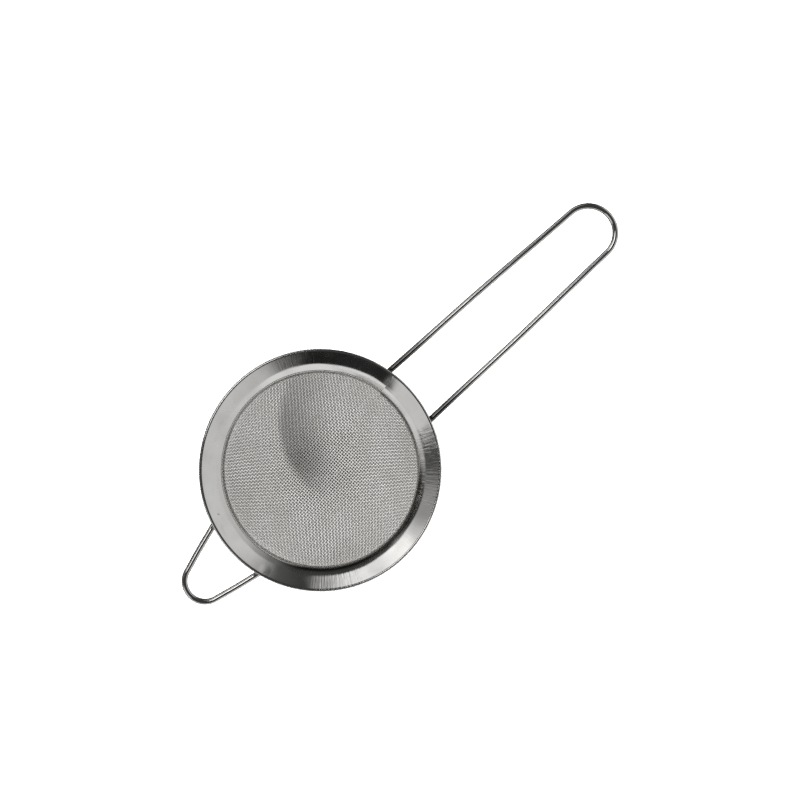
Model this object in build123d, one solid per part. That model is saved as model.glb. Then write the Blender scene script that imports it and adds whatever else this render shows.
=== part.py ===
from build123d import *

import os
from dataclasses import dataclass
from math import asin, cos, degrees, radians, sin, sqrt, tan

# A tea strainer in stainless steel: a bowl of woven wire cloth held in a folded sheet rim, with a
# long looped handle of round wire on one side and a short hook of the same wire on the other, so
# that the strainer lies across a cup.
#
# Millimetres. +Z is the axis of the bowl and points out of its mouth. +X runs from that axis to
# the middle of the handle's two welds. The origin lies on the axis, in the plane of the wires'
# undersides, which is the plane that rests on a cup's rim.

# Rim: one strip, folded double at its outer edge. Its two layers grip the skirt of the bowl.
RIM_RADIUS = 40.0
SHEET = 0.3
GRIP_GAP = 0.54  # between the two layers
BAND = 2 * SHEET + GRIP_GAP
FOLD_RADIUS = RIM_RADIUS - BAND / 2  # of the middle of the fold about the axis
FOLD_HEIGHT = 2.35  # of the middle of the fold
FLANGE_SLOPE = 34.0  # degrees from the horizontal, down towards the axis
SHOULDER_RADIUS = 35.35  # where the flange grows a little steeper
SHOULDER_BEND = 11.5
SHOULDER_SLOPE = 42.0
CORNER_RADIUS = 33.1  # where it turns down into the neck
CORNER_BEND = 1.2
NECK_SLOPE = 82.0
NECK_DROP = 2.7

# Bowl: wire cloth pressed to a skirt that follows the rim, and a dome below the neck.
CLOTH = 0.5
SKIRT_RADIUS = 38.4
DOME_RADIUS = 42.0
DOME_START = 1.0  # along the neck's slope, below the rim's lower edge
DOME_BEND = 3.5

# Round wire of the handle and the hook.
WIRE_RADIUS = 1.0
WIRE_BEND = 4.0
WIRE_END_RADIUS = 36.2  # how near to the axis the welded ends reach
WIRE_CHAMFER = 0.15


@dataclass
class Loop:
    """A wire bent into a loop, both of whose ends are welded under the flange."""

    azimuth: float  # degrees about the axis, of the middle of its two welds
    yaw: float  # degrees that it leans from the radial line through that middle
    tip_centre: float  # of the round tip, from the axis, along the loop
    tip_radius: float  # of the wire's middle line
    taper: float  # degrees that each leg closes in towards the tip

    def direction(self):
        """The way the loop runs, in plan."""
        return Vector(1, 0).rotate(Axis.Z, self.azimuth + self.yaw)

    def reach(self, distance):
        """The point of the loop's middle line that is this far out, in plan."""
        foot = Vector(RIM_RADIUS, 0).rotate(Axis.Z, self.azimuth)
        return foot + self.direction() * (distance - RIM_RADIUS)


HANDLE = Loop(azimuth=0.0, yaw=2.25, tip_centre=118.2, tip_radius=8.9, taper=1.14)
HOOK = Loop(azimuth=183.5, yaw=1.8, tip_centre=52.8, tip_radius=6.8, taper=14.8)

# Welds: one bead of metal between each wire end and the underside of the flange.
WELD_FILM = 0.15  # between the wire and the flange
WELD_RADIUS = 1.25
WELD_LENGTH = 2.4
WELD_RISE = 0.6  # from the middle of the wire to the middle of the bead, towards the flange
WELD_SHIFT = 1.0  # from the middle of the wire's run under the flange, towards the wire's end

# Values that follow from the ones above.
SHOULDER_HEIGHT = FOLD_HEIGHT - (FOLD_RADIUS - SHOULDER_RADIUS) * tan(radians(FLANGE_SLOPE))
CORNER_HEIGHT = SHOULDER_HEIGHT - (SHOULDER_RADIUS - CORNER_RADIUS) * tan(radians(SHOULDER_SLOPE))
NECK_RADIUS = CORNER_RADIUS - NECK_DROP / tan(radians(NECK_SLOPE))
NECK_HEIGHT = CORNER_HEIGHT - NECK_DROP
DOME_EDGE_RADIUS = NECK_RADIUS - DOME_START * cos(radians(NECK_SLOPE))
DOME_EDGE_HEIGHT = NECK_HEIGHT - DOME_START * sin(radians(NECK_SLOPE))
DOME_CENTRE = DOME_EDGE_HEIGHT + sqrt(DOME_RADIUS**2 - DOME_EDGE_RADIUS**2)
WIRE_DEPTH = (BAND / 2 + WELD_FILM + WIRE_RADIUS) / cos(radians(FLANGE_SLOPE))


def flange_height(radius):
    """Height of the middle of the flange, at a distance from the axis."""
    return FOLD_HEIGHT - (FOLD_RADIUS - radius) * tan(radians(FLANGE_SLOPE))


def rim_middle(start_radius, end):
    """The middle line of the rim's section, from the flange at start_radius down the neck to end."""
    return FilletPolyline(
        (start_radius, flange_height(start_radius)),
        (SHOULDER_RADIUS, SHOULDER_HEIGHT),
        (CORNER_RADIUS, CORNER_HEIGHT),
        end,
        radius=(SHOULDER_BEND, CORNER_BEND),
    )


def bowl_middle():
    """The middle line of the wire cloth's section, from the skirt's edge to the axis."""
    neck = rim_middle(SKIRT_RADIUS, (DOME_EDGE_RADIUS, DOME_EDGE_HEIGHT))
    edge_angle = degrees(asin(DOME_EDGE_RADIUS / DOME_RADIUS))
    dome = CenterArc((0, DOME_CENTRE), DOME_RADIUS, -90, edge_angle)
    outline = Wire(neck.edges() + dome.edges())
    joint = outline.vertices().sort_by_distance((DOME_EDGE_RADIUS, DOME_EDGE_HEIGHT))[0]
    return outline.fillet_2d(DOME_BEND, [joint])


def turned(section):
    """The solid that a section drawn as (radius, height) makes about the bowl's axis."""
    return revolve(Plane.XZ * section, Axis.Z)


def rim_outline():
    """The rim's section without the slot between its layers."""
    middle = rim_middle(FOLD_RADIUS, (NECK_RADIUS, NECK_HEIGHT))
    return trace(middle, BAND) + Pos(FOLD_RADIUS, FOLD_HEIGHT) * Circle(BAND / 2)


def make_rim():
    """The folded strip, open between its layers at the neck's lower end."""
    middle = rim_middle(FOLD_RADIUS, (NECK_RADIUS, NECK_HEIGHT))
    bottom = Pos(FOLD_RADIUS, FOLD_HEIGHT) * Circle(GRIP_GAP / 2)
    return turned(rim_outline() - trace(middle, GRIP_GAP) - bottom)


def make_bowl():
    """The wire cloth as a thin closed shell of its full thickness."""
    return turned(trace(bowl_middle(), CLOTH))


def under_flange(point):
    """The middle of a wire that runs along the flange's underside, at a point in plan."""
    return point + Vector(0, 0, flange_height(point.length) - WIRE_DEPTH)


def at_radius(start, direction, radius):
    """The point in plan that is radius away from the axis, on the line back from start."""
    along = start.dot(direction)
    return start - direction * (along - sqrt(along**2 - start.length**2 + radius**2))


def leg_points(loop, side):
    """The welded end, the bend at the rim and the tip's tangent point of one leg, side 1 or -1."""
    outwards = loop.direction().rotate(Axis.Z, side * (90 - loop.taper))
    tangent = loop.reach(loop.tip_centre) + outwards * loop.tip_radius
    leg = loop.direction().rotate(Axis.Z, -side * loop.taper)
    rise = WIRE_RADIUS + WIRE_DEPTH - FOLD_HEIGHT
    bend = at_radius(tangent, leg, FOLD_RADIUS + rise / tan(radians(FLANGE_SLOPE)))
    end = at_radius(tangent, leg, WIRE_END_RADIUS)
    level = Vector(0, 0, WIRE_RADIUS)
    return under_flange(end), bend + level, tangent + level


def make_loop(loop):
    """A wire from its welded end out along one leg, round the tip and back along the other."""
    left = leg_points(loop, 1)
    right = leg_points(loop, -1)
    outermost = loop.reach(loop.tip_centre + loop.tip_radius) + Vector(0, 0, WIRE_RADIUS)
    tip = ThreePointArc(left[-1], outermost, right[-1])
    legs = [FilletPolyline(*points, radius=WIRE_BEND) for points in (left, right[::-1])]
    path = Wire(legs[0].edges() + tip.edges() + legs[1].edges())
    wire = sweep(Plane(path @ 0, z_dir=path % 0) * Circle(WIRE_RADIUS), path)
    ends = wire.faces().filter_by(GeomType.PLANE).edges()
    return chamfer(ends, WIRE_CHAMFER)


def make_weld(loop, side, wire, solid_rim):
    """The bead that joins one wire end to the flange."""
    end, bend, _ = leg_points(loop, side)
    down = (end - bend).normalized()
    towards_flange = down.cross(Vector(0, 0, 1).cross(down)).normalized()
    middle = (end + bend) * 0.5 + down * WELD_SHIFT + towards_flange * WELD_RISE
    bead = Cylinder(WELD_RADIUS, WELD_LENGTH)
    for half in (-WELD_LENGTH / 2, WELD_LENGTH / 2):
        bead += Pos(0, 0, half) * Sphere(WELD_RADIUS)
    return Plane(middle, z_dir=down) * bead - wire - solid_rim


def main():
    os.makedirs("parts", exist_ok=True)
    nodes = {"rim_band": make_rim(), "mesh_bowl": make_bowl()}
    solid_rim = turned(rim_outline())
    for name, loop in (("handle", HANDLE), ("hook", HOOK)):
        wire = make_loop(loop)
        nodes[f"{name}_wire"] = wire
        nodes[f"{name}_welds"] = Compound([make_weld(loop, side, wire, solid_rim) for side in (1, -1)])
    for name, node in nodes.items():
        print(name, len(node.solids()), round(node.volume, 1))
        export_step(node, f"parts/{name}.step")


main()
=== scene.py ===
import math

import bpy
import numpy as np
from mathutils import Matrix, Vector, noise


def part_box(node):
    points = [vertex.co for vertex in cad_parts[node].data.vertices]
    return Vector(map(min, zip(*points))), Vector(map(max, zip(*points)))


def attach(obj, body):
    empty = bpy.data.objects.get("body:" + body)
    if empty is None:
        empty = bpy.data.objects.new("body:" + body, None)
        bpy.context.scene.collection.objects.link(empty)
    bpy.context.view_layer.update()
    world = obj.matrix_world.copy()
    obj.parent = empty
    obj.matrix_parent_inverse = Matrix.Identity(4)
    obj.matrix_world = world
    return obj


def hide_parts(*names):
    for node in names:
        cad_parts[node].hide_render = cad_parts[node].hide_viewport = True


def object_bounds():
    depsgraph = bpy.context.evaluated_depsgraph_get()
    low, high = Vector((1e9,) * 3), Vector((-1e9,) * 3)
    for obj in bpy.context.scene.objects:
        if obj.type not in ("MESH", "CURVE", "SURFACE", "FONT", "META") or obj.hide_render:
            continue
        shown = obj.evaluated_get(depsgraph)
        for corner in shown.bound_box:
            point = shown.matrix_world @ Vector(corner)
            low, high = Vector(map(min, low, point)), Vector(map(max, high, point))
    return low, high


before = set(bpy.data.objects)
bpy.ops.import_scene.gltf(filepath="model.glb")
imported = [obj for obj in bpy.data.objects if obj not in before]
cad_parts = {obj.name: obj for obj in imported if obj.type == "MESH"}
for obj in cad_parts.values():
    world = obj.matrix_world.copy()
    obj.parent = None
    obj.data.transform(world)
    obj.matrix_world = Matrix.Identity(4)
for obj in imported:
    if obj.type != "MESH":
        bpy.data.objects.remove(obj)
cad_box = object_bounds()

# Lengths are millimetres up to the moment a mesh is made, and metres from there on.
MM = 0.001

# ---- Sizes that the frame gives -------------------------------------------------------------

rim_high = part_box("rim_band")[1] / MM
handle_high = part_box("handle_wire")[1] / MM

RIM_RADIUS = rim_high.x
WIRE_RADIUS = handle_high.z / 2

# ---- Sizes of the sections, as the CAD model has them ----------------------------------------

SHEET = 0.3
GRIP_GAP = 0.54
BAND = 2 * SHEET + GRIP_GAP
FLANGE_SLOPE = math.radians(34)
SHOULDER_RADIUS = 35.35
SHOULDER_BEND = 11.5
SHOULDER_SLOPE = math.radians(42)
CORNER_RADIUS = 33.1
CORNER_BEND = 1.2
NECK_SLOPE = math.radians(82)
FOLD_RADIUS = RIM_RADIUS - BAND / 2
FOLD_HEIGHT = rim_high.z - BAND / 2
NECK_DROP = 2.7
DOME_RADIUS = 42.0
DOME_START = 1.0
DOME_BEND = 3.5
SKIRT_RADIUS = 38.4
WIRE_BEND = 4.0
WIRE_END_RADIUS = 36.2
WELD_FILM = 0.15

SHOULDER_HEIGHT = FOLD_HEIGHT - (FOLD_RADIUS - SHOULDER_RADIUS) * math.tan(FLANGE_SLOPE)
CORNER_HEIGHT = SHOULDER_HEIGHT - (SHOULDER_RADIUS - CORNER_RADIUS) * math.tan(SHOULDER_SLOPE)
NECK_RADIUS = CORNER_RADIUS - NECK_DROP / math.tan(NECK_SLOPE)
NECK_HEIGHT = CORNER_HEIGHT - NECK_DROP
DOME_EDGE_RADIUS = NECK_RADIUS - DOME_START * math.cos(NECK_SLOPE)
DOME_EDGE_HEIGHT = NECK_HEIGHT - DOME_START * math.sin(NECK_SLOPE)
DOME_CENTRE = DOME_EDGE_HEIGHT + math.sqrt(DOME_RADIUS**2 - DOME_EDGE_RADIUS**2)
DOME_EDGE_ANGLE = math.asin(DOME_EDGE_RADIUS / DOME_RADIUS)
WIRE_DEPTH = (BAND / 2 + WELD_FILM + WIRE_RADIUS) / math.cos(FLANGE_SLOPE)

# The wire cloth: 30 wires to the inch, laid a little off the handle's line. Its net is laid out on
# a flatter sphere than the dome, and then dropped onto the dome.
CLOTH_PITCH = 0.846
CLOTH_WIRE = 0.3
CLOTH_SIDES = 6
CLOTH_AZIMUTH = math.radians(10.5)
CLOTH_CROSSING = math.radians(88)
CLOTH_NET_RADIUS = 49.0
CLOTH_EDGE = 33.7
CLOTH_LIFT = 0.06  # keeps the lower wires inside the CAD box

# The lap of the rim's strip, between the handle's legs. The upper end rises over LAP_RISE degrees
# of azimuth, and its tilt dies out over LAP_FADE along the section.
SEAM_AZIMUTH = math.radians(12)
LAP_RISE = (-55, -5)
LAP_TILT = 0.05
LAP_TILT_GROWTH = 0.013  # for each millimetre along the section
LAP_FADE = (3.8, 6.8)
SLOT_DEPTH = 2.0  # of the slot for the cloth, as far as the visual model shows it

# The handle's and the hook's wire.
WIRE_SIDES = 32
WIRE_STEP = 0.4
WIRE_CHAMFER = 0.15


# ---- Small tools -----------------------------------------------------------------------------


def smoothstep(low, high, value):
    t = np.clip((np.asarray(value, float) - low) / (high - low), 0, 1)
    return t * t * (3 - 2 * t)


def rounded(corners, bends, steps=10):
    """A polyline whose inner corners are arcs, as an array of points."""
    points = [np.array(corners[0], float)]
    for before, corner, after, bend in zip(corners, corners[1:], corners[2:], bends):
        before, corner, after = (np.array(p, float) for p in (before, corner, after))
        back = (before - corner) / np.linalg.norm(before - corner)
        on = (after - corner) / np.linalg.norm(after - corner)
        half = math.acos(float(back @ on)) / 2
        centre = corner + (back + on) / np.linalg.norm(back + on) * bend / math.sin(half)
        start = corner + back * bend / math.tan(half) - centre
        end = corner + on * bend / math.tan(half) - centre
        turn = math.pi - 2 * half
        for i in range(steps + 1):
            a, b = math.sin(turn * (1 - i / steps)), math.sin(turn * i / steps)
            points.append(centre + (start * a + end * b) / math.sin(turn))
    points.append(np.array(corners[-1], float))
    return np.array(points)


def lengths(points):
    """The distance along a polyline at each of its points."""
    return np.concatenate([[0], np.cumsum(np.linalg.norm(np.diff(points, axis=0), axis=1))])


def resampled(points, step):
    """The same line with evenly spaced points, about a step apart."""
    along = lengths(points)
    even = np.linspace(0, along[-1], max(2, round(along[-1] / step) + 1))
    return np.stack([np.interp(even, along, column) for column in points.T], axis=1)


def new_piece(name, verts, faces, node, material):
    """A mesh object from millimetres, that rides on the model's one body and stands for a node."""
    mesh = bpy.data.meshes.new(name)
    mesh.from_pydata((np.asarray(verts) * MM).tolist(), [], faces)
    mesh.validate()
    mesh.update()
    mesh.polygons.foreach_set("use_smooth", [True] * len(mesh.polygons))
    mesh.materials.append(material)
    piece = bpy.data.objects.new(name, mesh)
    bpy.context.scene.collection.objects.link(piece)
    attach(piece, "root")
    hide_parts(node)
    return piece


def tube(points, normals, radius, sides, first):
    """Rings and faces of a closed round wire along points. Normals set where its first side is."""
    points = np.asarray(points)
    tangents = np.gradient(points, axis=0)
    tangents /= np.linalg.norm(tangents, axis=1)[:, None]
    across = np.cross(tangents, normals)
    across /= np.linalg.norm(across, axis=1)[:, None]
    up = np.cross(across, tangents)
    angles = 2 * math.pi * (np.arange(sides) + 0.5) / sides
    radius = np.broadcast_to(radius, len(points))[:, None, None]
    cosines, sines = np.cos(angles)[None, :, None], np.sin(angles)[None, :, None]
    rings = points[:, None] + radius * (cosines * up[:, None] + sines * across[:, None])
    index = first + np.arange(len(points) * sides).reshape(len(points), sides)
    beside = np.roll(index, -1, axis=1)
    quads = np.stack([index[:-1], index[1:], beside[1:], beside[:-1]], axis=-1).reshape(-1, 4)
    faces = quads.tolist()
    faces.append(index[0].tolist())
    faces.append(index[-1][::-1].tolist())
    return rings.reshape(-1, 3), faces


# ---- Materials -------------------------------------------------------------------------------

# Each metal is patched with two colours. Places are metres from the bowl's axis, or degrees round
# it. A pair (start, full) is where something begins and where it has its full strength.

CLOTH_COLOURS = (0.80, 0.79, 0.77, 1), (0.72, 0.71, 0.685, 1)
WIRE_COLOURS = (0.74, 0.735, 0.72, 1), (0.66, 0.65, 0.63, 1)
SHEET_COLOURS = (0.72, 0.715, 0.70, 1), (0.66, 0.65, 0.63, 1)
WELD_COLOURS = (0.50, 0.42, 0.33, 1), (0.34, 0.35, 0.40, 1)

# The crescent in the cloth is painted shadow, standing in for the rim's shadow on the cloth: the
# inside of a circle's edge, fading away from its heart. The photo can't tell a film of tea from
# a reflection here; it is made as a film.
PAINTED_SHADOW = (0.09, 0.088, 0.083, 1)
PAINTED_SHADOW_SHARE = 0.55
SHADOW_ARC_CENTRE = (0.0204, 0.0027, 0.0)
SHADOW_ARC_GROWTH = (0.009, 0.026)
SHADOW_ARC_EDGE = (0.030, 0.0268)
SHADOW_ARC_HEART = (-0.0027, 0.0152, 0.0)
SHADOW_ARC_REACH = (0.028, 0.006)

# The dark start of the handle's legs, along X: a painted dark reflection.
WIRE_DARK_REFLECTION = (0.07, 0.066, 0.06, 1)
DARK_REFLECTION_SHARE = 0.9
DARK_REFLECTION_START = (0.0, 0.01)
DARK_REFLECTION_END = (0.064, 0.043)

# The dark ring at the neck is painted shade: a painted dark reflection, wide on one side, and a
# thin painted shadow line all round.
PAINTED_NECK_SHADE = (0.06, 0.057, 0.05, 1)
NECK_SHADE_SIDE = (-158.0, -138.0), (-30.0, -50.0)
NECK_SHADE_WIDTH = (0.0343, 0.0331)
NECK_SHADE_SHARE = 0.95
SHADOW_LINE_WIDTH = (0.0328, 0.0325)
SHADOW_LINE_SHARE = 0.85

# The dents that the welds leave in the flange above them.
DENT_RADIUS = 0.0024
DENT_INSET = 0.0015  # of a dent's middle from the side of its node's box
DENT_DEPTHS = (0.4, 0.08)  # at the box's low and high side in Y
SPECKS = (0.66, 0.72)  # of the noise that makes them

# Where the rim shows radial draw lines: azimuth from the hook's side in degrees, and how much.
DRAWN = [
    (44, 0.04), (52, 1.0), (68, 0.9), (78, 0.1), (115, 0.1), (125, 0.9), (155, 0.9), (165, 0.04),
    (226, 0.04), (234, 0.5), (248, 0.5), (256, 0.04),
]


def grey(level):
    return (level, level, level, 1)


class Nodes:
    """A node tree, with short calls to add and join its nodes. Its textures follow its point."""

    def __init__(self, tree, coordinate):
        self.tree = tree
        self.point = self.add("ShaderNodeTexCoord").outputs[coordinate]

    def add(self, kind, inputs=(), **settings):
        node = self.tree.nodes.new(kind)
        for key, value in settings.items():
            setattr(node, key, value)
        for socket, value in dict(inputs).items():
            self.put(node.inputs[socket], value)
        return node

    def put(self, socket, value):
        if isinstance(value, bpy.types.NodeSocket):
            self.tree.links.new(value, socket)
        else:
            socket.default_value = value

    def math(self, operation, *values):
        node = self.add("ShaderNodeMath", enumerate(values), operation=operation)
        return node.outputs[0]

    def times(self, first, second):
        return self.math("MULTIPLY", first, second)

    def noise(self, scale, detail=2.0, vector=None, roughness=0.5):
        inputs = {"Scale": scale, "Detail": detail, "Roughness": roughness}
        inputs["Vector"] = vector or self.point
        return self.add("ShaderNodeTexNoise", inputs).outputs["Fac"]

    def ramp(self, value, stops):
        """A number that changes smoothly between (place, number) stops."""
        node = self.add("ShaderNodeValToRGB", {"Fac": value})
        node.color_ramp.interpolation = "EASE"
        while len(node.color_ramp.elements) < len(stops):
            node.color_ramp.elements.new(0.5)
        for element, (place, number) in zip(node.color_ramp.elements, stops):
            element.position = place
            element.color = grey(number)
        return node.outputs["Color"]

    def between(self, value, low, high):
        """0 where the value is low and 1 where it is high, smoothly."""
        inputs = {"Value": value, 1: low, 2: high}
        return self.add("ShaderNodeMapRange", inputs, interpolation_type="SMOOTHSTEP").outputs[0]

    def vector(self, operation, first, second):
        return self.add("ShaderNodeVectorMath", {0: first, 1: second}, operation=operation).outputs

    def distance(self, point, other):
        return self.vector("DISTANCE", point, other)["Value"]

    def plan(self):
        """The point without its height."""
        return self.vector("MULTIPLY", self.point, (1.0, 1.0, 0.0))[0]

    def mix(self, factor, first, second):
        node = self.add("ShaderNodeMix", {"Factor": factor}, data_type="RGBA")
        self.put(node.inputs[6], first)
        self.put(node.inputs[7], second)
        return node.outputs[2]

    def patchy(self, value, low, high, colours):
        """The first colour where the value is below low, and the second where it is above high."""
        return self.mix(self.ramp(value, [(low, 0.0), (high, 1.0)]), *colours)

    def bump(self, height, distance, strength=1.0, under=None):
        inputs = {"Height": height, "Distance": distance, "Strength": strength}
        if under is not None:
            inputs["Normal"] = under
        return self.add("ShaderNodeBump", inputs).outputs["Normal"]

    def polar(self):
        """The azimuth in degrees and the distance from the bowl's axis, in metres."""
        xyz = self.add("ShaderNodeSeparateXYZ", {"Vector": self.point}).outputs
        azimuth = self.math("DEGREES", self.math("ARCTAN2", xyz["Y"], xyz["X"]))
        squares = (self.times(xyz[c], xyz[c]) for c in "XY")
        return azimuth, self.math("SQRT", self.math("ADD", *squares))


def metal(name):
    """A new metal, its node tree and its shader's inputs."""
    material = bpy.data.materials.new(name)
    material.use_nodes = True
    shader = material.node_tree.nodes["Principled BSDF"]
    shader.inputs["Metallic"].default_value = 1.0
    return material, Nodes(material.node_tree, "Object"), shader.inputs


def steel_cloth():
    """Woven stainless wire, a little uneven, with a crescent of painted shadow in it."""
    material, n, inputs = metal("steel_cloth")
    patches = n.noise(90.0, 3.0)
    clean = n.patchy(patches, 0.35, 0.7, CLOTH_COLOURS)
    plan = n.plan()
    # Painted shadow: the rim's shadow on the cloth, darkened into its colour as a crescent.
    shadow_arc = n.distance(plan, SHADOW_ARC_CENTRE)
    shadow_band = n.times(n.between(shadow_arc, *SHADOW_ARC_GROWTH), n.between(shadow_arc, *SHADOW_ARC_EDGE))
    darkening = n.times(shadow_band, n.between(n.distance(plan, SHADOW_ARC_HEART), *SHADOW_ARC_REACH))
    n.put(inputs["Base Color"], n.mix(n.times(darkening, PAINTED_SHADOW_SHARE), clean, PAINTED_SHADOW))
    n.put(inputs["Roughness"], n.ramp(patches, [(0.3, 0.45), (0.75, 0.6)]))
    n.put(inputs["Normal"], n.bump(n.noise(2600.0, 2.0), 0.00002, 0.5))
    return material


def steel_wire():
    """Bright drawn wire, with faint scratches along it, patches of handling and a painted dark
    reflection near the rim.
    """
    material, n, inputs = metal("steel_wire")
    smudge = n.noise(160.0, 4.0)
    stretched = n.add("ShaderNodeMapping", {"Vector": n.point, "Scale": (60.0, 2400.0, 2400.0)})
    scratches = n.noise(1.0, 3.0, stretched.outputs["Vector"])
    clean = n.patchy(smudge, 0.4, 0.7, WIRE_COLOURS)
    # Painted dark reflection: the handle's legs darkened over their start near the rim.
    x = n.add("ShaderNodeSeparateXYZ", {"Vector": n.point}).outputs["X"]
    dark_reflection = n.times(n.between(x, *DARK_REFLECTION_START), n.between(x, *DARK_REFLECTION_END))
    n.put(inputs["Base Color"], n.mix(n.times(dark_reflection, DARK_REFLECTION_SHARE), clean, WIRE_DARK_REFLECTION))
    n.put(inputs["Roughness"], n.ramp(smudge, [(0.35, 0.05), (0.75, 0.11)]))
    n.put(inputs["Normal"], n.bump(scratches, 0.00002, 0.35))
    return material


def weld_spots():
    """Where the four welds lie under the flange, in plan, and how deep the dent above each is."""
    for node in ("handle_welds", "hook_welds"):
        low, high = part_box(node)
        for y, depth in zip((low.y + DENT_INSET, high.y - DENT_INSET), DENT_DEPTHS):
            yield ((low.x + high.x) / 2, y, 0.0), depth


def steel_sheet():
    """Rolled and pressed sheet: near mirror, with radial draw lines, smudges and a dark neck of
    painted shade.
    """
    material, n, inputs = metal("steel_sheet")
    azimuth, radius = n.polar()
    smudge = n.noise(110.0, 4.0)
    polar = n.add("ShaderNodeCombineXYZ", {"X": azimuth, "Y": n.times(radius, 120.0)})
    lines = n.noise(0.9, 3.0, polar.outputs[0], 0.65)
    turned = n.math("DIVIDE", n.math("ADD", azimuth, 180.0), 360.0)
    where = n.ramp(turned, [(a / 360, share) for a, share in DRAWN])
    clean = n.patchy(smudge, 0.35, 0.75, SHEET_COLOURS)
    plan = n.plan()
    dents = 0.0
    for spot, depth in weld_spots():
        dent = n.between(n.distance(plan, spot), DENT_RADIUS, 0.0)
        dents = n.math("MAXIMUM", n.times(dent, depth), dents)
    # Painted shade at the neck: a wide painted dark reflection on one side and a thin painted
    # shadow line all round; the specks at the weld dents are real marks.
    side = n.times(*(n.between(azimuth, *edge) for edge in NECK_SHADE_SIDE))
    wide = n.times(n.times(side, n.between(radius, *NECK_SHADE_WIDTH)), NECK_SHADE_SHARE)
    line = n.times(n.between(radius, *SHADOW_LINE_WIDTH), SHADOW_LINE_SHARE)
    specks = n.times(n.between(n.noise(900.0, 1.0), *SPECKS), n.between(dents, 0.0, 0.12))
    darkening = n.math("MAXIMUM", n.math("MAXIMUM", wide, line), specks)
    n.put(inputs["Base Color"], n.mix(darkening, clean, PAINTED_NECK_SHADE))
    n.put(inputs["Roughness"], n.ramp(smudge, [(0.3, 0.07), (0.75, 0.17)]))
    lined = n.math("SUBTRACT", n.times(lines, where), dents)
    wavy = n.bump(n.noise(60.0, 1.0), 0.0004, 0.25)
    n.put(inputs["Normal"], n.bump(lined, 0.00012, 0.8, wavy))
    return material


def weld_metal():
    """Melted metal: rough, with straw and blue heat colours."""
    material, n, inputs = metal("weld_metal")
    heat = n.noise(900.0, 2.0)
    n.put(inputs["Base Color"], n.patchy(heat, 0.4, 0.62, WELD_COLOURS))
    n.put(inputs["Roughness"], n.ramp(heat, [(0.3, 0.3), (0.7, 0.55)]))
    n.put(inputs["Normal"], n.bump(n.noise(3000.0, 3.0), 0.00008, 0.6))
    return material


# ---- The bowl of wire cloth ------------------------------------------------------------------


def bowl_section():
    """The cloth's middle from the axis outwards: radius, height, slope and the way along it at even
    steps, and the radius at which it begins to turn up into the neck."""
    tangent = np.array([math.cos(DOME_EDGE_ANGLE), math.sin(DOME_EDGE_ANGLE)])
    edge = np.array([DOME_EDGE_RADIUS, DOME_EDGE_HEIGHT])
    skirt_height = FOLD_HEIGHT - (FOLD_RADIUS - SKIRT_RADIUS) * math.tan(FLANGE_SLOPE)
    join = DOME_BEND * math.tan((NECK_SLOPE - DOME_EDGE_ANGLE) / 2)
    angles = np.linspace(0, DOME_EDGE_ANGLE - join / DOME_RADIUS, 80)[:-1]
    dome = [DOME_RADIUS * np.sin(angles), DOME_CENTRE - DOME_RADIUS * np.cos(angles)]
    dome = np.stack(dome, axis=1)
    rest = rounded(
        [edge - tangent * join, edge, (CORNER_RADIUS, CORNER_HEIGHT),
         (SHOULDER_RADIUS, SHOULDER_HEIGHT), (SKIRT_RADIUS, skirt_height)],
        # The first bend is a little tight, so that its arc starts past the dome's last point.
        [DOME_BEND * 0.98, CORNER_BEND, SHOULDER_BEND],
    )
    line = resampled(np.concatenate([dome, rest]), 0.05)
    slope = np.arctan2(np.gradient(line[:, 1]), np.gradient(line[:, 0]))
    return line[:, 0], line[:, 1], slope, lengths(line), dome[-1, 0]


def cloth_net():
    """Where the wires cross, on a sphere: a net whose every side is one pitch long.

    Two lines of crossings run over the top of the sphere. Each further crossing is the one before
    it mirrored in the plane through the sphere's centre and its two neighbours.
    """
    count = int(CLOTH_NET_RADIUS * math.asin(CLOTH_EDGE / CLOTH_NET_RADIUS) / CLOTH_PITCH) + 2
    net = np.zeros((2 * count + 1, 2 * count + 1, 3))
    turn = CLOTH_PITCH / CLOTH_NET_RADIUS
    crossing_lines = (((1, 0), CLOTH_AZIMUTH), ((0, 1), CLOTH_AZIMUTH + CLOTH_CROSSING))
    for k in range(-count, count + 1):
        out = math.sin(k * turn)
        for (i, j), azimuth in crossing_lines:
            crossing = (out * math.cos(azimuth), out * math.sin(azimuth), math.cos(k * turn))
            net[count + k * i, count + k * j] = crossing
    for step_i in (1, -1):
        for step_j in (1, -1):
            for i in range(1, count + 1):
                for j in range(1, count + 1):
                    a, b = count + i * step_i, count + j * step_j
                    plane = np.cross(net[a - step_i, b], net[a, b - step_j])
                    plane /= np.linalg.norm(plane)
                    old = net[a - step_i, b - step_j]
                    net[a, b] = old - 2 * (old @ plane) * plane
    return net[..., :2] * CLOTH_NET_RADIUS


def on_bowl(plan, section):
    """Points of the cloth for the net's plan points, and its normals there.

    The dome lies straight below the net. Past it the cloth keeps its stretch as it turns upwards.
    """
    radii, heights, slopes, arcs, dome_end = section
    distance = np.hypot(plan[..., 0], plan[..., 1])
    past = np.maximum(distance - dome_end, 0) / math.cos(np.interp(dome_end, radii, slopes))
    arc = np.interp(np.minimum(distance, dome_end), radii, arcs) + past
    radius, height, slope = (np.interp(arc, arcs, column) for column in (radii, heights, slopes))
    unit = plan / np.maximum(distance, 1e-6)[..., None]
    points = np.concatenate([unit * radius[..., None], height[..., None] + CLOTH_LIFT], axis=-1)
    normals = np.concatenate([-np.sin(slope)[..., None] * unit, np.cos(slope)[..., None]], axis=-1)
    return points, normals


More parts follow.
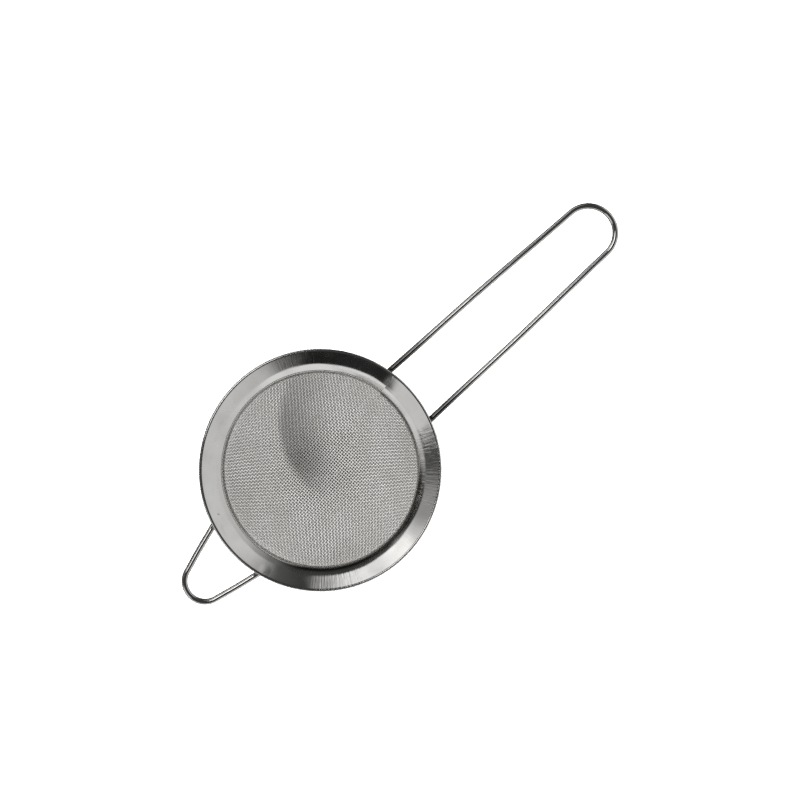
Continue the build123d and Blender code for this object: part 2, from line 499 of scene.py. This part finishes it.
def wavering(plan, seed):
    """Small smooth shifts of the crossings, as in cloth that has been pressed and used."""
    shift = np.zeros_like(plan)
    for cell in np.ndindex(plan.shape[:2]):
        x, y = plan[cell]
        if math.hypot(x, y) > CLOTH_EDGE + 2:
            continue
        for axis in (0, 1):
            place = Vector((x / 9, y / 9, seed + 7.3 * axis))
            small = Vector((x / 1.7, y / 1.7, seed + 31.1 * axis))
            shift[cell][axis] = 0.16 * noise.noise(place) + 0.035 * noise.noise(small)
    return plan + shift


def cloth_wires(net, direction, section):
    """The wires of one direction, woven over and under the others, as rings and faces."""
    verts, faces, first = [], [], 0
    lines = net if direction == 0 else net.swapaxes(0, 1)
    sign = 1 if direction == 0 else -1
    for number, line in enumerate(lines):
        inside = np.flatnonzero(np.hypot(line[:, 0], line[:, 1]) < CLOTH_EDGE)
        if len(inside) < 4:
            continue
        places = np.concatenate([[k - 0.25, k + 0.25] for k in inside])
        columns = [np.interp(places, np.arange(len(line)), line[:, c]) for c in (0, 1)]
        plan = np.stack(columns, axis=1)
        points, normals = on_bowl(plan, section)
        over = np.repeat(np.where((inside + number) % 2 == 0, 1.0, -1.0), 2) * sign
        points = points + normals * (over * CLOTH_WIRE / 2)[:, None]
        rings, quads = tube(points, normals, CLOTH_WIRE / 2, CLOTH_SIDES, first)
        verts.append(rings)
        faces.extend(quads)
        first += len(rings)
    return np.concatenate(verts), faces


def make_bowl(material):
    section = bowl_section()
    net = wavering(cloth_net(), 3.0)
    pieces = []
    for direction, name in enumerate(("cloth_warp", "cloth_weft")):
        verts, faces = cloth_wires(net, direction, section)
        pieces.append(new_piece(name, verts, faces, "mesh_bowl", material))
    return pieces


# ---- The rim's folded strip ------------------------------------------------------------------


def rim_middle():
    """The band's middle line from the fold to the neck's end, and which way is up at its points."""
    line = rounded(
        [(FOLD_RADIUS, FOLD_HEIGHT), (SHOULDER_RADIUS, SHOULDER_HEIGHT),
         (CORNER_RADIUS, CORNER_HEIGHT), (NECK_RADIUS, NECK_HEIGHT)],
        [SHOULDER_BEND, CORNER_BEND],
    )
    line = resampled(line, 0.3)
    tangent = np.gradient(line, axis=0)
    tangent /= np.linalg.norm(tangent, axis=1)[:, None]
    return line, np.stack([tangent[:, 1], -tangent[:, 0]], axis=1)


def rim_outline():
    """The band's closed section: points, how far each lies from the fold, and how much each belongs
    to the inner layer, whose end laps over the other at the seam."""
    line, up = rim_middle()
    along = lengths(line)
    half, grip = BAND / 2, GRIP_GAP / 2
    slot = np.flatnonzero(along > along[-1] - SLOT_DEPTH)
    angles = np.linspace(0, math.pi, 13)[1:-1, None]
    outwards = np.array([up[0, 1], -up[0, 0]])
    fold = line[0] + half * (np.cos(angles) * up[0] + np.sin(angles) * outwards)
    pieces = [
        ((line + up * half)[::-1], along[::-1], 1.0),
        (fold, np.zeros(len(fold)), 0.5),
        (line - up * half, along, 0.0),
        ((line - up * grip)[slot[::-1]], along[slot[::-1]], 0.0),
        ((line + up * grip)[slot], along[slot], 1.0),
    ]
    points = np.concatenate([p for p, _, _ in pieces])
    ups = np.concatenate([up[::-1], np.repeat(up[:1], len(fold), 0), up, up[slot[::-1]], up[slot]])
    return points, np.concatenate([a for _, a, _ in pieces]), ups, np.concatenate(
        [np.full(len(p), share) for p, _, share in pieces]
    )


def rim_azimuths():
    """Azimuths all round, with a pair close together where the lap steps down."""
    even = np.radians(np.arange(-180, 180, 0.75))
    even = even[np.abs(even - SEAM_AZIMUTH) > math.radians(0.3)]
    step = SEAM_AZIMUTH + np.radians([-0.12, 0.0, 0.06, 0.2])
    return np.sort(np.concatenate([even, step]))


def rim_wave(x, y, way):
    """How far the sheet strays from its section, for a unit heading and a way along the section."""
    broad = noise.noise(Vector((2.2 * x, 2.2 * y, way / 9)))
    fine = noise.noise(Vector((9 * x, 9 * y, way / 3)))
    return 0.10 * broad + 0.02 * fine


def make_rim(material):
    points, along, ups, inner = rim_outline()
    azimuths = rim_azimuths()
    lap = smoothstep(*LAP_RISE, np.degrees(azimuths)) * (azimuths <= SEAM_AZIMUTH)
    way = np.linspace(0, along.max(), 120)
    tilt = (LAP_TILT + LAP_TILT_GROWTH * way) * (1 - smoothstep(*LAP_FADE, way))
    rise = np.interp(along, way, np.cumsum(tilt) * way[1]) * inner
    rings = []
    for azimuth, raised in zip(azimuths, lap):
        x, y = math.cos(azimuth), math.sin(azimuth)
        wave = np.array([rim_wave(x, y, a) for a in along]) * smoothstep(0, 3, along)
        moved = points + ups * (wave + raised * rise)[:, None]
        rings.append(np.stack([moved[:, 0] * x, moved[:, 0] * y, moved[:, 1]], axis=1))
    count = len(points)
    index = np.arange(len(azimuths) * count).reshape(len(azimuths), count)
    beside, after = np.roll(index, -1, axis=0), np.roll(index, -1, axis=1)
    both = np.roll(beside, -1, axis=1)
    faces = np.stack([index, beside, both, after], axis=-1).reshape(-1, 4).tolist()
    piece = new_piece("rim_strip", np.concatenate(rings), faces, "rim_band", material)
    piece.data.set_sharp_from_angle(angle=math.radians(38))


# ---- The handle's and the hook's wire --------------------------------------------------------


def at_radius(start, direction, radius):
    """The point in plan that is radius away from the axis, on the line back from start."""
    along = float(start @ direction)
    return start - direction * (along - math.sqrt(along**2 - start @ start + radius**2))


def heading(azimuth):
    return np.array([math.cos(azimuth), math.sin(azimuth)])


def leg(azimuth, yaw, tip_centre, tip_radius, taper, side, bow):
    """One leg's middle line, from its welded end to where the round tip begins."""
    foot = heading(azimuth) * RIM_RADIUS
    centre = foot + heading(azimuth + yaw) * (tip_centre - RIM_RADIUS)
    tangent = centre + heading(azimuth + yaw + side * (math.pi / 2 - taper)) * tip_radius
    direction = heading(azimuth + yaw - side * taper)
    bend_radius = FOLD_RADIUS + (WIRE_RADIUS + WIRE_DEPTH - FOLD_HEIGHT) / math.tan(FLANGE_SLOPE)
    bend = at_radius(tangent, direction, bend_radius)
    end = at_radius(tangent, direction, WIRE_END_RADIUS)
    end_height = FOLD_HEIGHT - (FOLD_RADIUS - WIRE_END_RADIUS) * math.tan(FLANGE_SLOPE) - WIRE_DEPTH
    corners = [(*end, end_height), (*bend, WIRE_RADIUS), (*tangent, WIRE_RADIUS)]
    line = resampled(rounded(corners, [WIRE_BEND]), WIRE_STEP)
    share = np.clip((line[:, :2] - bend) @ direction / np.linalg.norm(tangent - bend), 0, 1)
    outwards = side * np.array([-direction[1], direction[0]])
    line[:, :2] += (bow * np.sin(math.pi * share) ** 2)[:, None] * outwards
    return line, centre


def make_loop(name, node, material, azimuth, yaw, tip_centre, tip_radius, taper, bow):
    azimuth, yaw, taper = map(math.radians, (azimuth, yaw, taper))
    left, centre = leg(azimuth, yaw, tip_centre, tip_radius, taper, 1, bow)
    right, _ = leg(azimuth, yaw, tip_centre, tip_radius, taper, -1, bow)
    turns = np.linspace(math.pi / 2 - taper, taper - math.pi / 2, 72)[1:-1] + azimuth + yaw
    tip = np.array([(*(centre + heading(turn) * tip_radius), WIRE_RADIUS) for turn in turns])
    line = np.concatenate([left, tip, right[::-1]])
    cuts = [line[a] + (line[b] - line[a]) * WIRE_CHAMFER / WIRE_STEP for a, b in ((0, 1), (-1, -2))]
    line = np.concatenate([line[:1], cuts[:1], line[1:-1], cuts[1:], line[-1:]])
    radii = np.full(len(line), WIRE_RADIUS)
    radii[[0, -1]] -= WIRE_CHAMFER
    verts, faces = tube(line, np.array([0.0, 0.0, 1.0]), radii, WIRE_SIDES, 0)
    piece = new_piece(name, verts, faces, node, material)
    piece.data.set_sharp_from_angle(angle=math.radians(35))


# ---- Floor, light and camera -----------------------------------------------------------------

FLOOR_HALF = 1.5
# The floor's darker disc under the bowl is a painted shadow.
FLOOR_SHADE = (0.031, 0.041)  # where the darker disc under the bowl gives way to the pale floor

# The room is not known: its greys are set so that the rim shows the light and dark of the photo.
# How bright it is round the horizon, as (azimuth in degrees, brightness): below the floor's line,
# close to the floor, and higher up, as far as the ceiling's edge.
ROOM_BELOW = [(0, 0.5), (20, 0.35), (45, 0.04), (200, 0.04), (250, 0.5)]
ROOM_LOW = [
    (0, 0.56), (12, 0.38), (24, 0.17), (36, 0.05), (126, 0.04), (136, 0.07), (142, 0.28),
    (150, 0.5), (161, 0.72), (172, 0.8), (200, 0.95), (222, 0.9), (250, 0.9), (270, 0.78),
    (300, 0.69), (345, 0.66), (360, 0.56),
]
ROOM_MID = [
    (0, 0.75), (12, 0.68), (30, 0.09), (44, 0.05), (58, 0.6), (70, 1.15), (82, 1.0), (100, 1.4),
    (110, 0.7), (120, 0.36), (132, 0.34), (144, 0.08), (157, 0.08), (167, 0.7), (187, 0.72),
    (193, 0.02), (232, 0.015), (243, 0.09), (260, 0.60), (280, 0.69), (360, 0.72),
]
# Where ROOM_LOW gives way to ROOM_MID: (azimuth in degrees, elevation as a share of 90 degrees).
ROOM_EDGE = [
    (0, 0.15), (30, 0.15), (45, 0.23), (60, 0.22), (74, 0.19), (88, 0.14), (130, 0.14),
    (200, 0.18), (245, 0.18), (270, 0.15),
]
EDGE_BLUR = 2.5  # degrees of elevation to each side of that edge
FLOOR_LINE = (-12, -3)
CEILING_LINE = (29, 34)
CEILING = 0.05
# Azimuth and elevation of the middle, half width and half height, all in degrees, and brightness.
SOFT_BOXES = [
    (174, 39, 15, 13, 0.72),
    (105, 68, 24, 8, 3.0),
]
BOX_BLUR_ACROSS, BOX_BLUR_UP = 3, 2

# Lamps: tilt, turn and width of the source in degrees, and energy.
FLOOR_LAMPS = [(60, 20 + 90 * k, 30, 3.2) for k in range(4)]
CLOTH_LAMP = (0, 0, 120, 3.3)

# The camera: how far it is turned about the bowl's axis, its height, the width that it sees, and
# how far the picture's middle lies right of and above the axis.
IMAGE_TURN = math.radians(40.0)
CAMERA_HEIGHT = 0.75
VIEW_WIDTH = 0.2645
VIEW_RIGHT, VIEW_UP = 0.02629, 0.02314
SENSOR = 36.0


def make_floor():
    low = cad_box[0].z
    mesh = bpy.data.meshes.new("floor")
    signs = ((-1, -1), (1, -1), (1, 1), (-1, 1))
    corners = [(x * FLOOR_HALF, y * FLOOR_HALF, low) for x, y in signs]
    mesh.from_pydata(corners, [], [(0, 1, 2, 3)])
    material = bpy.data.materials.new("floor")
    material.use_nodes = True
    shader = material.node_tree.nodes["Principled BSDF"]
    n = Nodes(material.node_tree, "Object")
    _, radius = n.polar()
    # Painted shadow: the floor's colour is darker in a disc under the bowl and fades out to the
    # pale floor.
    pale = n.between(radius, *FLOOR_SHADE)
    n.put(shader.inputs["Base Color"], n.mix(pale, grey(0.13), grey(0.86)))
    shader.inputs["Roughness"].default_value = 0.9
    shader.inputs["Specular IOR Level"].default_value = 0.0
    mesh.materials.append(material)
    floor = bpy.data.objects.new("floor", mesh)
    floor.visible_glossy = False
    bpy.context.scene.collection.objects.link(floor)
    return floor


def make_world():
    """The room: walls of several greys, a dark ceiling, and soft boxes. The camera sees white."""
    world = bpy.data.worlds.new("room")
    bpy.context.scene.world = world
    world.use_nodes = True
    n = Nodes(world.node_tree, "Generated")
    xyz = n.add("ShaderNodeSeparateXYZ", {"Vector": n.point}).outputs
    turn = n.math("DIVIDE", n.math("ARCTAN2", xyz["Y"], xyz["X"]), 2 * math.pi)
    azimuth = n.math("FRACT", n.math("ADD", turn, 1.0))
    elevation = n.math("DEGREES", n.math("ARCSINE", xyz["Z"]))

    def around(stops):
        return n.ramp(azimuth, [(a / 360, level) for a, level in stops])

    light = n.mix(n.between(elevation, *FLOOR_LINE), around(ROOM_BELOW), around(ROOM_LOW))
    above = n.math("SUBTRACT", elevation, n.times(around(ROOM_EDGE), 90.0))
    light = n.mix(n.between(above, -EDGE_BLUR, EDGE_BLUR), light, around(ROOM_MID))
    light = n.mix(n.between(elevation, *CEILING_LINE), light, grey(CEILING))
    for middle, height, half_width, half_height, level in SOFT_BOXES:
        shifted = n.math("FRACT", n.math("ADD", azimuth, 1.5 - middle / 360))
        aside = n.math("ABSOLUTE", n.math("SUBTRACT", shifted, 0.5))
        across = n.between(
            aside, (half_width + BOX_BLUR_ACROSS) / 360, (half_width - BOX_BLUR_ACROSS) / 360
        )
        off = n.math("ABSOLUTE", n.math("SUBTRACT", elevation, float(height)))
        up = n.between(off, half_height + BOX_BLUR_UP, half_height - BOX_BLUR_UP)
        light = n.mix(n.times(across, up), light, grey(level))
    is_camera = n.add("ShaderNodeLightPath").outputs["Is Camera Ray"]
    background = world.node_tree.nodes["Background"]
    n.put(background.inputs["Color"], n.mix(is_camera, light, grey(1.0)))


def make_lamps(floor, cloth):
    """Four wide soft lamps that light the floor only, and one overhead that lights the cloth only.

    Only the cloth blocks them.
    """
    woven = bpy.data.collections.new("woven")
    for thing in cloth:
        woven.objects.link(thing)
    on_floor = bpy.data.collections.new("on_floor")
    on_floor.objects.link(floor)
    lamps = [(settings, on_floor) for settings in FLOOR_LAMPS] + [(CLOTH_LAMP, woven)]
    for (tilt, turn, width, energy), lit in lamps:
        lamp = bpy.data.lights.new("lamp", "SUN")
        lamp.energy = energy
        lamp.angle = math.radians(width)
        holder = bpy.data.objects.new("lamp", lamp)
        holder.rotation_euler = (math.radians(tilt), 0, math.radians(turn))
        holder.visible_glossy = lit is woven  # or it wouldn't light the cloth's bare metal
        holder.light_linking.receiver_collection = lit
        holder.light_linking.blocker_collection = woven
        bpy.context.scene.collection.objects.link(holder)


def make_camera():
    """Straight down, with the handle towards the upper right."""
    right = Vector((math.cos(-IMAGE_TURN), math.sin(-IMAGE_TURN), 0))
    up = Vector((-right.y, right.x, 0))
    target = right * VIEW_RIGHT + up * VIEW_UP
    camera = bpy.data.cameras.new("camera")
    camera.sensor_width = SENSOR
    camera.lens = SENSOR * CAMERA_HEIGHT / VIEW_WIDTH
    camera.clip_start = 0.05
    holder = bpy.data.objects.new("camera", camera)
    rotation = Matrix((right, up, Vector((0, 0, 1)))).transposed()
    place = Matrix.Translation(target + Vector((0, 0, CAMERA_HEIGHT)))
    holder.matrix_world = place @ rotation.to_4x4()
    bpy.context.scene.collection.objects.link(holder)
    bpy.context.scene.camera = holder
    bpy.context.scene.view_settings.view_transform = "Standard"


# ---- The strainer ----------------------------------------------------------------------------

make_world()
make_camera()

make_rim(steel_sheet())
make_lamps(make_floor(), make_bowl(steel_cloth()))
wire = steel_wire()
make_loop("handle_loop", "handle_wire", wire, azimuth=0.0, yaw=2.25,
          tip_centre=118.2, tip_radius=8.9, taper=1.14, bow=0.3)
make_loop("hook_loop", "hook_wire", wire, azimuth=183.5, yaw=1.8,
          tip_centre=52.8, tip_radius=6.8, taper=14.8, bow=0.1)
welds = weld_metal()
for node in ("handle_welds", "hook_welds"):
    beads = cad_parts[node]
    beads.data.materials.clear()
    beads.data.materials.append(welds)

# The denoiser wipes out the weave.
bpy.context.scene.cycles.use_denoising = False
